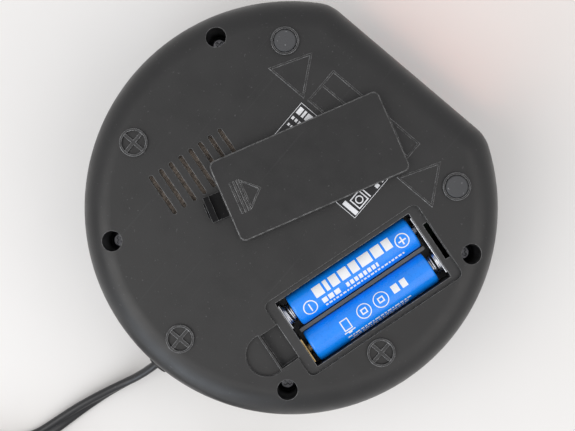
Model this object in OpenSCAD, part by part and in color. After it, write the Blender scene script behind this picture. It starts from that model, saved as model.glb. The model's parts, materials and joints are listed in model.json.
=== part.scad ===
// Round mains alarm clock radio with a flat display side, lying on its top face.
// +Z points out of the underside, -Y out of the display side, and the cord leaves towards +Y.
// The origin is the centre of the round body on the top face, which is the face it lies on.

/* [Body] */
// Radius of the round body at its widest
body_r = 62.9; // [60:0.1:78]
// Radius of the two upright corners beside the flat side, kept so that their centres fall on whole millimetres
corner_r = 12; // [11:0.5:16]
// Height of the body from its top face to its underside
body_h = 52; // [48:0.5:64]
// Rounding between the side and the underside
base_round = 9; // [7:0.5:10]
// Rounding between the side and the top face
top_round = 6; // [4:0.5:8]
// Lean of the side wall, narrower at the top face
lean = 7; // [4:0.5:8]
// Thickness of the shell walls
wall = 2.2; // [1.8:0.1:3]
// Distance from the underside to the joint between the two shells
seam_depth = 18; // [16:0.5:22]
// Height of the lip that locates the two shells
lip_h = 2; // [1:0.5:3]
// Clearance between pieces that fit together by hand
fit_gap = 0.15; // [0.1:0.05:0.25]

/* [Feet and screws] */
// Outer diameter of the foot rings
foot_d = 8.4; // [7:0.1:10]
// Wall of the foot rings
foot_wall = 0.65; // [0.5:0.05:1]
// Height of the foot rings above the underside
foot_h = 1; // [0.6:0.1:1.6]
// Height of a rubber pad above its ring
pad_proud = 0.4; // [0.2:0.1:1]
// Mouth diameter of the four screw wells
well_d = 6.1; // [5.8:0.1:7]
// Depth of the screw wells below the underside
well_depth = 22; // [20:0.5:24]
// Shank diameter of the case screws
screw_d = 2.9; // [2.5:0.1:3.2]
// Head diameter of the case screws
screw_head_d = 5.4; // [5:0.1:5.6]

/* [Battery compartment] */
// Length of one cell, with its terminal
cell_l = 44.5; // [44:0.1:45]
// Diameter of one cell
cell_d = 10.5; // [10:0.1:10.5]
// Distance between the two cells' axes
cell_pitch = 12; // [11.5:0.1:12.5]
// Spare length for the springs and contact plates
contact_room = 3.6; // [3:0.1:5]
// Depth of the recess that the cover sits in
cover_recess = 1.5; // [1.2:0.1:2]
// Width of the ledge under the cover along the long sides
side_ledge = 1.6; // [1:0.1:2.5]
// Width of the ledge under the cover at the two ends
end_ledge = 3.35; // [3:0.05:5]
// Clearance between the cover and its recess, on each side
cover_gap = 0.25; // [0.15:0.05:0.4]
// Width of the latch tongue
latch_w = 8; // [6:0.5:10]

/* [Speaker] */
// Number of slots in the speaker grille
slot_count = 8; // [5:1:9]
// Length of one slot
slot_l = 13.7; // [10:0.1:16]
// Width of one slot
slot_w = 1.3; // [1:0.1:1.8]
// Distance between the slots
slot_pitch = 3.54; // [3:0.02:4]
// Diameter of the speaker
speaker_d = 36; // [32:0.5:36]

/* [Display] */
// Width of the display window
lens_w = 50; // [40:0.5:52]
// Height of the display window
lens_h = 19; // [14:0.5:20]
// Height of one digit
digit_h = 12.7; // [9:0.1:14]
// Width of one digit
digit_w = 7; // [5:0.1:8]

/* [Buttons] */
// Diameter of the small buttons
button_d = 6.5; // [5:0.1:7]
// Distance between the small buttons
button_pitch = 9; // [8.8:0.1:10]
// Length of the snooze bar
snooze_l = 46; // [36:0.5:48]
// Width of the snooze bar
snooze_w = 10; // [8:0.5:12]
// Travel of every button
button_travel = 0.8; // [0.4:0.1:1]
// How far the buttons sit below the top face
button_recess = 0.3; // [0.3:0.1:0.8]
// Clearance around a button in its hole
button_gap = 0.25; // [0.2:0.05:0.4]

/* [Cord] */
// Width of the flat two-core cord
cord_w = 5.2; // [5:0.1:5.2]
// Thickness of the flat two-core cord
cord_t = 2.7; // [2.5:0.1:2.7]
// Diameter of the plug's two pins
pin_d = 4; // [3.9:0.05:4.1]
// Length of the plug's two pins
pin_l = 19; // [18.5:0.5:19.5]
// Distance between the plug's two pins
pin_pitch = 18.6; // [18:0.1:19]

/* [Hidden] */
$fn = 72;
eps = 0.01;

// Body outline: a round with a flat side and two round corners, all measured from the corner centres.
// The direction of the corner centres has an exact sine and cosine, so that the pieces of the outline meet.
turn_x = 0.5376;
turn_y = 0.8432;
core_r = round(body_r - corner_r);
corner_fit = body_r - core_r;
core_x = core_r * turn_x;
core_y = core_r * turn_y;
low_x = corner_fit - base_round;
low_z = body_h - base_round;
top_x = low_x + (base_round - top_round) / cos(lean) - (low_z - top_round) * tan(lean);
seam_z = body_h - seam_depth;
function side_x(z) = low_x + base_round / cos(lean) - (low_z - z) * tan(lean);
side_wall = wall / cos(lean);
lip_x = side_x(seam_z) - side_wall / 2 - 0.1;
seam_groove = 0.3;

// Upright section of the body from the corner centre outwards, drawn inside the outline by the inset.
module rim(inset, z0, z1) {
    top_r = top_round - inset;
    low_r = base_round - inset;
    intersection() {
        union() {
            polygon([[0, inset], [top_x, inset], [top_x + top_r * cos(lean), top_round - top_r * sin(lean)],
                [low_x + low_r * cos(lean), low_z - low_r * sin(lean)], [low_x, body_h - inset],
                [0, body_h - inset]]);
            translate([low_x, low_z]) circle(low_r);
            translate([top_x, top_round]) circle(top_r);
        }
        translate([0, z0]) square([corner_fit + 1, z1 - z0]);
    }
}

// Upright prism over a triangle from the origin, past the section on both sides.
module wedge(z0, z1, a, b) {
    translate([0, 0, z0 - 1]) linear_extrude(z1 - z0 + 2) polygon([[0, 0], a, b]);
}

// Solid that carries the section in its children all round the body outline.
module round_body(z0, z1) {
    difference() {
        rotate_extrude($fn = 144) {
            translate([0, z0]) square([core_r + eps, z1 - z0]);
            translate([core_r, 0]) children();
        }
        wedge(z0, z1, 200 * [turn_x, -turn_y], 200 * [-turn_x, -turn_y]);
    }
    for (side = [0, 1]) {
        mirror([side, 0, 0]) translate([core_x, -core_y, 0]) intersection() {
            rotate_extrude($fn = 144) children();
            wedge(z0, z1, 40 * [turn_x, -turn_y], [0, -40]);
        }
    }
    translate([core_x, -core_y, 0]) rotate([90, 0, -90]) linear_extrude(2 * core_x) children();
    translate([0, 0, z0]) linear_extrude(z1 - z0) polygon([[0, 0], [core_x, -core_y], [-core_x, -core_y]]);
}

module body_solid(inset, z0, z1) {
    round_body(max(z0, inset), min(z1, body_h - inset)) rim(inset, z0, z1);
}

// Straight-sided body outline at one distance from the corner centres.
module outline_block(x, z0, z1) {
    round_body(z0, z1) translate([0, z0]) square([x, z1 - z0]);
}

// Feet and screws, laid out for one body radius and moved out or in with the body's edge.
drawn_r = 62.9;
spread = core_r / round(drawn_r - corner_r);
foot_pad_spots = spread * [[33.5, -36.6], [-33.5, -36.6]];
foot_open_spots = spread * [[48.3, 15.6], [-48.3, 15.6], [0, 51.2]];
well_spots = spread * [[50, -24.2], [-50, -24.2], [34.3, 42.2], [-34.3, 42.2]];
rib_w = 1;
well_wall = 1.3;
well_floor = 1.6;
well_z = body_h - well_depth;
screw_head_h = 2;
screw_l = 14;
boss_wall = 1.5;
boss_low_z = top_round + 3;
post_room = side_x(well_z - well_floor) - side_wall - 0.05;
pad_d = foot_d - 2 * foot_wall - 0.5;

// Label, and raised outlines on the underside: two triangles and a divided box, all left plain.
label_size = [34.8, 16.4];
label_spot = [0.7, -17.8];
label_t = 0.15;
mark_h = 0.25;
mark_w = 0.55;

// Battery compartment, in its own frame: x along the cells, y across them, z = 0 on the underside.
cell_spot = [-32.3, 4.9];
cell_turn = -105.7;
cell_r = cell_d / 2;
tray_l = cell_l + contact_room;
tray_w = cell_pitch + cell_d + 0.2;
recess_l = tray_l + 2 * end_ledge;
recess_w = tray_w + 2 * side_ledge;
recess_corner = 2;
cell_z = -cover_recess - 0.4 - cell_r;
tray_z = cell_z - cell_r - 0.2;
tray_floor = 1.6;
tray_wall = 1.4;
plate_t = 0.4;
nub_h = 0.8;
nub_d = 3.8;
plate_h = 8.4;
spring_r = 3.4;
spring_l = tray_l - cell_l - 2 * plate_t - 0.15;
cell_shift = tray_l / 2 - plate_t - 0.05 - cell_l / 2;
hook_l = 12.4;
hook_w = 1.6;
hook_x = recess_l / 2 - 0.15 - hook_w / 2;
pocket_w = latch_w + 3.8;
pocket_l = 5.7;
pocket_depth = 5;
scoop_r = 6.4;
scoop_depth = 1.6;
scoop_x = -recess_l / 2 - pocket_l - 1.5;
module in_tray() {
    translate([cell_spot[0], cell_spot[1], body_h]) rotate([0, 0, cell_turn]) children();
}

// Battery cover, in its own frame: z = 0 on the inner side of the plate. It rests on the raised outlines.
cover_l = recess_l - 2 * cover_gap;
cover_w = recess_w - 2 * cover_gap;
cover_drop = 3;
arrow_h = 0.25;
arrow_w = 9.7;
arrow_line = 0.5;
arrow_x = [6.4, 11.6];
arrow_bars = [3.4, 4.5, 5.6];
cover_spot = [3.8, -12.7];
cover_turn = -116.1;
latch_t = 1.2;
latch_gap = 0.3;
latch_reach = 5.2;
latch_x = -cover_l / 2 - latch_gap;
cover_z = body_h + mark_h + 0.05 + cover_drop;
module on_cover() {
    translate([cover_spot[0], cover_spot[1], cover_z]) rotate([0, 0, cover_turn]) children();
}

// Speaker
slots_spot = [28.3, 9.9];
slots_turn = -105.4;
speaker_r = speaker_d / 2;
ring_wall = 1.4;
ring_depth = 5;
inner_z = body_h - wall;
gasket_t = 0.5;
basket_z = inner_z - gasket_t;
basket_flange = 1;
basket_depth = 7.6;
magnet_r = 10;
magnet_h = 5;

// Display, in a frame on the outer face of the display side: x across, y up the body, z outwards.
window_z = 21;
lens_t = 1.8;
lens_flange = 1.2;
flange_t = 0.9;
block_t = 7;
board_t = 1.6;
segment_w = 1.5;
digit_step = 11;
on_segments = [[0, 1, 1, 0, 0, 0, 0], [1, 1, 0, 1, 1, 0, 1], [1, 1, 1, 1, 1, 1, 0], [1, 1, 1, 1, 1, 1, 0]];
digit_spots = [-1.62 * digit_step, -0.62 * digit_step, 0.62 * digit_step, 1.62 * digit_step];
block_z = -wall - flange_t - 0.2;
module on_front() {
    translate([0, -core_y - side_x(window_z), window_z]) rotate([90 + lean, 0, 0]) children();
}

// Buttons and boards
button_y = -28;
button_names_x = [for (i = [0:5]) (i - 2.5) * button_pitch];
snooze_y = -13.5;
flange_out = 0.95;
button_flange_t = 1;
flange_gap = 0.1;
button_board_z = 10;
button_board_size = [64, 32];
button_board_y = -20.5;
switch_size = 6;
switch_h = 3.5;
plunger_h = 0.9;
switch_spots = concat([for (x = button_names_x) [x, button_y]],
    [[-snooze_l / 3, snooze_y], [snooze_l / 3, snooze_y]]);
stem_end_z = button_board_z - switch_h - plunger_h - button_travel - 0.1;
button_post_spots = [[-29.5, -33.5], [29.5, -33.5], [-29.5, -8], [29.5, -8]];
post_r = 2.6;
post_screw_d = 2.2;
post_screw_l = 7;
main_board_z = 22;
main_board_size = [80, 44];
main_board_y = -14;
main_post_spots = [[-36.5, -30], [36.5, -30], [-36.5, 4], [36.5, 4]];
main_post_r = 3;
capacitor_spots = [[-10, -4, 4, 10], [2, -2, 3.2, 9], [24, -4, 3.2, 9], [-28, -14, 2.6, 7]];

// Transformer
core_size = [34, 28, 12];
core_spot = [-10, 29];
core_foot_h = 4;
core_foot_t = 1;
core_screw_l = core_foot_h + core_foot_t - wall - 0.2;
winding_w = 19;
winding_z = [2, 20];

// Cord exit and clamp
exit_z = 11;
bushing_l = 20;
bushing_neck_d = 8;
bushing_out = 9;
exit_y = core_r + side_x(exit_z);
clamp_y = floor(exit_y) - 13;
clamp_w = 3.6;
cord_shift = body_r - drawn_r;

// Cord route from the body to the coil: x, y, z of the cord's middle, and the turn of its flat side.
lead_route = [[0, 58, 11, 90], [0.1, 63, 10.8, 90], [0.6, 67.5, 9.6, 90], [1.6, 72, 7.2, 90], [3, 76.5, 4.9, 88],
    [4.8, 81, 3.4, 84], [6.8, 86, 2.8, 76], [8.6, 91, 2.7, 64], [10.2, 96, 2.5, 50], [11.6, 101, 2.2, 36],
    [12.9, 106, 1.9, 22], [14.3, 111, 1.6, 10], [15.7, 114.5, 1.4, 3], [17.7, 117.8, 1.4, 0],
    [20.2, 120.7, 1.4, 0], [23.6, 123.4, 1.4, 0], [28.3, 127, 1.4, 0], [32.1, 131.2, 1.4, 0],
    [34.8, 136.2, 1.4, 0], [36.3, 142.2, 1.4, 0], [36.1, 148.3, 1.4, 0], [35.1, 154, 1.4, 0]];
coil_spot = [4, 154 + cord_shift];
coil_mid_r = 28.5;
coil_layers = 4;
// Cord route from the coil to the plug.
tail_route = [[-25.4, 164.4, 9.8, 0], [-27.3, 159.3, 9.3, 0], [-29.2, 154.2, 8.2, 0], [-31, 149.2, 7.2, 0],
    [-32.3, 145.6, 6.9, 0]];
plug_spot = [-50, 97 + cord_shift];
plug_turn = 250;
plug_z = 6.9;
plug_l = 36;
plug_boot_l = 16;
plug_w = 35.3;
plug_h = 13.7;
tie_turn = 60;
sides = 8;

function unit(v) = v / norm(v);
function spot(p) = [p[0], p[1], p[2]];
function heading(route, i) =
    unit(spot(route[min(i + 1, len(route) - 1)]) - spot(route[max(i - 1, 0)]));
function ring_point(p, along, a) =
    let (level = unit([along[1], -along[0], 0]))
    let (up = cross(level, along))
    let (x = cord_w / 2 * cos(a))
    let (y = cord_t / 2 * sin(a))
    spot(p) + level * (x * cos(p[3]) - y * sin(p[3])) + up * (x * sin(p[3]) + y * cos(p[3]));

// Flat cord swept along a route as one closed surface.
module swept_cord(route) {
    rings = len(route);
    points = [for (i = [0:rings - 1]) for (k = [0:sides - 1])
        ring_point(route[i], heading(route, i), 360 * k / sides)];
    walls = [for (i = [0:rings - 2]) for (k = [0:sides - 1])
        let (next = (k + 1) % sides)
        [i * sides + k, i * sides + next, (i + 1) * sides + next, (i + 1) * sides + k]];
    first = [for (k = [sides - 1:-1:0]) k];
    last = [for (k = [0:sides - 1]) (rings - 1) * sides + k];
    polyhedron(points, concat([first], walls, [last]));
}

module at_each(spots) {
    for (s = spots) {
        translate([s[0], s[1], 0]) children();
    }
}

module rounded_box(size, r, z0, z1) {
    translate([0, 0, z0]) linear_extrude(z1 - z0) rounded_rect(size, r);
}

module rounded_rect(size, r) {
    square([size[0] - 2 * r, size[1]], center = true);
    square([size[0], size[1] - 2 * r], center = true);
    for (x = [-1, 1]) {
        for (y = [-1, 1]) {
            translate([x * (size[0] / 2 - r), y * (size[1] / 2 - r)]) circle(r);
        }
    }
}

module block(size, z0, z1) {
    translate([-size[0] / 2, -size[1] / 2, z0]) cube([size[0], size[1], z1 - z0]);
}

module tube(r1, r2, z0, z1) {
    translate([0, 0, z0]) difference() {
        cylinder(h = z1 - z0, r = r2);
        translate([0, 0, -1]) cylinder(h = z1 - z0 + 2, r = r1);
    }
}

module post(r, hole_d, z0, z1) {
    tube(hole_d / 2, r, z0, z1);
}

// Wells with a chamfered mouth and a hole for the screw's shank.
module well_cuts() {
    at_each(well_spots) {
        translate([0, 0, well_z]) cylinder(h = well_depth + 5, d = well_d);
        translate([0, 0, well_z - well_floor - 1]) cylinder(h = well_floor + 2, d = screw_d + 0.4);
    }
}

module speaker_slots() {
    translate([slots_spot[0], slots_spot[1], inner_z - 1]) rotate([0, 0, slots_turn]) linear_extrude(wall + 2) {
        for (i = [0:slot_count - 1]) {
            translate([(i - (slot_count - 1) / 2) * slot_pitch, 0]) {
                square([slot_w, slot_l - slot_w], center = true);
                translate([0, (slot_l - slot_w) / 2]) circle(d = slot_w, $fn = 24);
                translate([0, -(slot_l - slot_w) / 2]) circle(d = slot_w, $fn = 24);
            }
        }
    }
}

module raised_marks() {
    for (x = [-25.1, 25.1]) {
        translate([x, -31.2, body_h - eps]) rotate([0, 0, -90]) linear_extrude(mark_h + eps) difference() {
            circle(r = 8, $fn = 3);
            circle(r = 8 - 2 * mark_w, $fn = 3);
        }
    }
    translate([0, -33.4, body_h - eps]) linear_extrude(mark_h + eps) {
        difference() {
            square([33.8, 11.8], center = true);
            square([33.8 - 2 * mark_w, 11.8 - 2 * mark_w], center = true);
        }
        translate([-16.9, -0.7]) square([33.8, mark_w]);
    }
}

module foot_rings() {
    color("#1c1d1f") {
        at_each(concat(foot_pad_spots, foot_open_spots)) {
            tube(foot_d / 2 - foot_wall, foot_d / 2, body_h, body_h + foot_h);
        }
        at_each(foot_open_spots) {
            block([foot_d - foot_wall, rib_w], body_h, body_h + foot_h - 0.3);
            block([rib_w, foot_d - foot_wall], body_h, body_h + foot_h - 0.3);
        }
    }
}

module tray_outer() {
    in_tray() {
        block([tray_l + 2 * tray_wall, tray_w + 2 * tray_wall], tray_z - tray_floor, -wall);
        block([recess_l + 2 * tray_wall, recess_w + 2 * tray_wall], -cover_recess - 1.4, -1);
        translate([-recess_l / 2 - pocket_l / 2, 0, 0])
            block([pocket_l + 4 + 2 * tray_wall, pocket_w + 2 * tray_wall], -pocket_depth - tray_wall, -1);
        translate([scoop_x, 0, -scoop_depth - 1.6]) cylinder(h = scoop_depth + 0.6, r = scoop_r + 0.8);
    }
}

module tray_cuts() {
    in_tray() {
        rounded_box([recess_l, recess_w], recess_corner, -cover_recess, 1);
        block([tray_l, tray_w], tray_z, 1);
        translate([hook_x, 0, 0]) block([hook_w, hook_l], -cover_recess - 3, 1);
        translate([-recess_l / 2 - pocket_l + pocket_l / 2 + 0.15, 0, 0])
            block([pocket_l + 0.3, pocket_w], -pocket_depth, 1);
        intersection() {
            translate([scoop_x, 0, -scoop_depth]) cylinder(h = scoop_depth + 1, r = scoop_r);
            translate([-recess_l / 2 - pocket_l - 20.6, -20, -10]) cube([20, 40, 20]);
        }
    }
}

module base_shell() {
    color("#1c1d1f") difference() {
        union() {
            difference() {
                body_solid(0, seam_z, body_h);
                body_solid(wall, seam_z - 1, body_h - wall);
            }
            difference() {
                outline_block(lip_x, seam_z - lip_h, seam_z + 0.6);
                outline_block(side_x(seam_z) - side_wall - 0.15, seam_z - lip_h - 1, seam_z + 1);
            }
            translate([slots_spot[0], slots_spot[1], 0])
                tube(speaker_r + fit_gap, speaker_r + fit_gap + ring_wall, inner_z - ring_depth, inner_z + 0.5);
            raised_marks();
        }
        well_cuts();
        tray_cuts();
        in_tray() rounded_box([recess_l, recess_w], recess_corner, -wall - 1, 1);
        speaker_slots();
    }
}

// Tray under the skin of the base.
module battery_tray() {
    color("#1c1d1f") difference() {
        intersection() {
            tray_outer();
            union() {
                body_solid(wall, well_z - 5, body_h - wall);
                in_tray() rounded_box([recess_l, recess_w], recess_corner, -wall - 1, -cover_recess);
            }
        }
        tray_cuts();
        at_each(well_spots) {
            translate([0, 0, well_z - well_floor - 1])
                cylinder(h = well_depth + well_floor + 2, d = well_d + 2 * well_wall);
        }
    }
}

// Rib that stands on the tray's floor and keeps the cells apart.
module cell_rib() {
    color("#5a5c60") in_tray() block([tray_l - 3, cell_pitch - cell_d - 0.4], tray_z, cell_z + 1.2);
}

// Screw wells under the skin of the base, kept clear of the cabinet's wall.
module screw_posts() {
    color("#1c1d1f") difference() {
        intersection() {
            body_solid(wall, well_z - 5, body_h - wall);
            outline_block(post_room, well_z - 5, body_h - wall + 1);
            at_each(well_spots) {
                translate([0, 0, well_z - well_floor])
                    cylinder(h = well_depth + well_floor, d = well_d + 2 * well_wall);
            }
        }
        well_cuts();
    }
}

module cabinet() {
    color("#1c1d1f") difference() {
        union() {
            difference() {
                body_solid(0, 0, seam_z - seam_groove);
                body_solid(wall, wall, seam_z + 1);
                outline_block(lip_x + fit_gap, seam_z - lip_h - fit_gap, seam_z + 1);
            }
            at_each(well_spots) {
                post(screw_d / 2 + boss_wall, screw_d + 0.1, boss_low_z, well_z - well_floor - 0.05);
            }
            at_each(button_post_spots) {
                post(post_r, post_screw_d + 0.1, wall - eps, button_board_z);
            }
            at_each(main_post_spots) {
                post(main_post_r, post_screw_d + 0.1, wall - eps, main_board_z);
            }
            translate([core_spot[0], core_spot[1], 0]) for (x = [-1, 1]) {
                translate([x * (core_size[0] / 2 + 4), 0, 0]) post(3, post_screw_d + 0.1, wall - eps, core_foot_h);
            }
            for (x = [-1, 1]) {
                translate([x * 7, clamp_y, 0]) post(2.6, post_screw_d + 0.1, wall - eps, exit_z - cord_w / 2);
            }
        }
        on_front() block([lens_w, lens_h], -wall - 1, 1);
        for (x = button_names_x) {
            translate([x, button_y, -1]) cylinder(h = wall + 2, r = button_d / 2 + button_gap);
        }
        translate([0, snooze_y, 0])
            rounded_box([snooze_l + 2 * button_gap, snooze_w + 2 * button_gap], 3 + button_gap, -1, wall + 1);
        translate([0, exit_y + 4, exit_z]) rotate([90, 45, 0]) cylinder(h = 12, d = bushing_neck_d + 0.1);
    }
}

module foot_pads() {
    color("#2b2b2c") at_each(foot_pad_spots) {
        translate([0, 0, body_h]) cylinder(h = foot_h + pad_proud - 0.3, d = pad_d);
        translate([0, 0, body_h + foot_h + pad_proud - 0.3])
            cylinder(h = 0.3, d1 = pad_d, d2 = pad_d - 0.6);
    }
}

module rating_label() {
    color("#0c0c0d") translate([label_spot[0], label_spot[1], 0])
        rounded_box(label_size, 1, body_h, body_h + label_t);
}

module pan_screw(head_d, head_h, shank_d, length) {
    difference() {
        union() {
            cylinder(h = head_h * 0.6, d = head_d);
            translate([0, 0, head_h * 0.6]) cylinder(h = head_h * 0.4, d1 = head_d, d2 = head_d * 0.7);
            translate([0, 0, -length]) cylinder(h = length + eps, d = shank_d);
        }
        for (a = [0, 90]) {
            rotate([0, 0, a]) translate([-head_d * 0.26, -head_d * 0.07, head_h * 0.4])
                cube([head_d * 0.52, head_d * 0.14, head_h]);
        }
    }
}

module case_screws() {
    color("#8c8f92") at_each(well_spots) {
        translate([0, 0, well_z]) pan_screw(screw_head_d, screw_head_h, screw_d, screw_l);
    }
}

module cover_arrow() {
    translate([-cover_l / 2, 0, cover_recess - eps]) linear_extrude(arrow_h + eps) {
        difference() {
            polygon([[arrow_x[0], -arrow_w / 2], [arrow_x[1], 0], [arrow_x[0], arrow_w / 2]]);
            polygon([[arrow_x[0] + arrow_line, -arrow_w / 2 + arrow_line * 2], [arrow_x[1] - arrow_line * 1.5, 0],
                [arrow_x[0] + arrow_line, arrow_w / 2 - arrow_line * 2]]);
        }
        for (x = arrow_bars) {
            translate([x, -arrow_w / 2]) square([arrow_line, arrow_w]);
        }
    }
}

module battery_cover() {
    color("#1c1d1f") on_cover() {
        rounded_box([cover_l, cover_w], recess_corner - cover_gap / 2, 0, cover_recess - 0.3);
        rounded_box([cover_l - 0.5, cover_w - 0.5], recess_corner - cover_gap, cover_recess - 0.3 - eps, cover_recess);
        difference() {
            block([tray_l - 1.6, tray_w - 2], -1, eps);
            block([tray_l - 4, tray_w - 4.4], -2, -eps);
        }
        translate([hook_x - 0.1, 0, 0]) block([hook_w - 0.4, hook_l - 0.6], -cover_drop, eps);
        translate([hook_x + 0.55, 0, 0]) block([1.5, hook_l - 0.6], -cover_drop, -cover_drop + 0.9);
        translate([-cover_l / 2 + latch_t / 2, 0, 0]) block([latch_t, latch_w], -cover_drop, eps);
        cover_arrow();
    }
}

module cover_latch() {
    color("#1c1d1f") on_cover() {
        translate([latch_x - latch_reach / 2, 0, 0])
            block([latch_reach, latch_w], -cover_drop, -cover_drop + latch_t);
        translate([latch_x - latch_reach + latch_t / 2, 0, 0])
            block([latch_t, latch_w], -cover_drop, cover_recess - 0.2);
        translate([latch_x - latch_reach - 0.35, 0, 0]) block([0.72, latch_w * 0.6], -1, -0.2);
        translate([latch_x - latch_reach + 0.9, 0, 0]) block([1.9, latch_w], cover_recess - 1.1, cover_recess - 0.2);
    }
}

// One cell along +x: negative end at the left of its frame, terminal at the right.
module cell() {
    rotate([0, 90, 0]) translate([0, 0, -cell_l / 2]) {
        cylinder(h = 0.6, d1 = cell_d - 1.6, d2 = cell_d - 0.2);
        translate([0, 0, 0.6]) cylinder(h = cell_l - nub_h - 1.2, d = cell_d);
        translate([0, 0, cell_l - nub_h - 0.6]) cylinder(h = 0.6, d1 = cell_d - 0.2, d2 = cell_d - 1.8);
        translate([0, 0, cell_l - nub_h - eps]) cylinder(h = nub_h + eps, d = nub_d);
    }
}

module battery_left() {
    color("#1f6fd0") in_tray() translate([cell_shift, cell_pitch / 2, cell_z]) cell();
}

module battery_right() {
    color("#1f6fd0") in_tray() translate([-cell_shift, -cell_pitch / 2, cell_z]) rotate([0, 0, 180]) cell();
}

module contact_spring() {
    rotate([0, 90, 0]) difference() {
        cylinder(h = spring_l, r1 = spring_r, r2 = spring_r - 0.9);
        translate([0, 0, -1]) cylinder(h = spring_l + 2, r = spring_r - 1.5);
    }
}

module battery_springs() {
    color("#c9ccd0") in_tray() {
        translate([-tray_l / 2 + plate_t, cell_pitch / 2, cell_z]) contact_spring();
        translate([tray_l / 2 - plate_t, -cell_pitch / 2, cell_z]) rotate([0, 0, 180]) contact_spring();
    }
}

module contact_plate(width) {
    translate([0, -width / 2, cell_z - plate_h / 2]) cube([plate_t, width, plate_h]);
}

module contact_bridge() {
    color("#c9ccd0") in_tray() translate([tray_l / 2 - plate_t, 0, 0]) contact_plate(cell_pitch + 7.5);
}

module contact_negative() {
    color("#c9ccd0") in_tray() translate([-tray_l / 2, cell_pitch / 2, 0]) contact_plate(8);
}

module contact_positive() {
    color("#d9b26a") in_tray() translate([-tray_l / 2, -cell_pitch / 2, 0]) contact_plate(8);
}

module speaker_gasket() {
    color("#3a3632") translate([slots_spot[0], slots_spot[1], 0])
        tube(speaker_r - 2.4, speaker_r - 0.2, basket_z, inner_z);
}

module speaker_basket() {
    color("#9a9da0") translate([slots_spot[0], slots_spot[1], basket_z]) rotate_extrude()
        polygon([[speaker_r, 0], [speaker_r, -basket_flange], [speaker_r - 3, -basket_flange - 1.2],
            [magnet_r - 0.5, -basket_depth], [4, -basket_depth], [4, -basket_depth + 0.9],
            [magnet_r - 1.2, -basket_depth + 0.9], [speaker_r - 3.6, -basket_flange - 0.4],
            [speaker_r - 3.2, 0]]);
}

module speaker_cone() {
    color("#6b5a48") translate([slots_spot[0], slots_spot[1], basket_z]) {
        rotate_extrude()
            polygon([[0, -3], [4.2, -4.6], [speaker_r - 4.6, -0.9], [speaker_r - 3.5, -0.9],
                [speaker_r - 3.5, -0.3], [speaker_r - 4.8, -0.3], [4.6, -4], [3.6, -2.6], [0, -1.9]]);
    }
}

module speaker_magnet() {
    color("#3b3d40") translate([slots_spot[0], slots_spot[1], basket_z - basket_depth - magnet_h])
        cylinder(h = magnet_h, r = magnet_r);
}

module display_lens() {
    color("#3a0b0e") on_front() {
        block([lens_w - 2 * fit_gap, lens_h - 2 * fit_gap], -wall - eps, -0.3);
        block([lens_w + 2 * lens_flange, lens_h + 2 * lens_flange - 0.4], -wall - flange_t, -wall);
    }
}

module seven_segments(lit) {
    h = digit_h - segment_w;
    w = digit_w - segment_w;
    s = segment_w;
    g = 0.25;
    places = [[0, h / 2, 90], [w / 2, h / 4, 0], [w / 2, -h / 4, 0], [0, -h / 2, 90], [-w / 2, -h / 4, 0],
        [-w / 2, h / 4, 0], [0, 0, 90]];
    for (i = [0:6]) {
        if (lit[i] == 1) {
            long = (places[i][2] == 90 ? w : h / 2) - g;
            translate([places[i][0], places[i][1]]) rotate([0, 0, places[i][2]])
                polygon([[0, long / 2], [s / 2, (long - s) / 2], [s / 2, -(long - s) / 2], [0, -long / 2],
                    [-s / 2, -(long - s) / 2], [-s / 2, (long - s) / 2]]);
        }
    }
}

module display_segments() {
    color("#ff2a1c") on_front() translate([0, 0, block_z]) rotate([0, 0, 180]) linear_extrude(0.12) {
        for (i = [0:3]) {
            translate([digit_spots[i], 0]) seven_segments(on_segments[i]);
        }
        for (y = [-1, 1]) {
            translate([0, y * digit_h / 5]) circle(d = 1.5, $fn = 24);
        }
    }
}

module display_block() {
    color("#111112") on_front() block([lens_w - 2, lens_h - 1], block_z - block_t, block_z);
}

module display_board() {
    color("#2f6b3a") on_front()
        block([lens_w + 4, lens_h + 2], block_z - block_t - board_t, block_z - block_t);
}

module main_board() {
    color("#2f6b3a") difference() {
        translate([0, main_board_y, 0]) block(main_board_size, main_board_z, main_board_z + board_t);
        at_each(main_post_spots) {
            translate([0, 0, main_board_z - 1]) cylinder(h = board_t + 2, d = post_screw_d + 0.8);
        }
    }
}

module board_parts() {
    color("#23252a") {
        for (c = capacitor_spots) {
            translate([c[0], c[1], main_board_z + board_t]) cylinder(h = c[3], r = c[2]);
        }
        translate([6, -18, 0]) block([18, 8], main_board_z + board_t, main_board_z + board_t + 2.4);
        translate([-14, -24, 0]) block([12, 6], main_board_z + board_t, main_board_z + board_t + 1.8);
        translate([30, -24, 0]) block([10, 5], main_board_z + board_t, main_board_z + board_t + 6);
    }
}

module tuner_can() {
    color("#b9bcc0") translate([24, -14, 0]) block([14, 9], main_board_z + board_t, main_board_z + board_t + 5);
}

module board_screws() {
    color("#b9bcc0") at_each(main_post_spots) {
        translate([0, 0, main_board_z + board_t]) pan_screw(4.4, 1.6, post_screw_d, post_screw_l);
    }
}

module button_board() {
    color("#2f6b3a") difference() {
        translate([0, button_board_y, 0]) block(button_board_size, button_board_z, button_board_z + board_t);
        at_each(button_post_spots) {
            translate([0, 0, button_board_z - 1]) cylinder(h = board_t + 2, d = post_screw_d + 0.8);
        }
    }
}

module button_board_screws() {
    color("#b9bcc0") at_each(button_post_spots) {
        translate([0, 0, button_board_z + board_t]) pan_screw(4.4, 1.6, post_screw_d, post_screw_l);
    }
}

module key_switches() {
    color("#222326") at_each(switch_spots) {
        block([switch_size, switch_size], button_board_z - switch_h, button_board_z);
        translate([0, 0, button_board_z - switch_h - plunger_h]) cylinder(h = plunger_h + eps, d = 3.4);
    }
}

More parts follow.
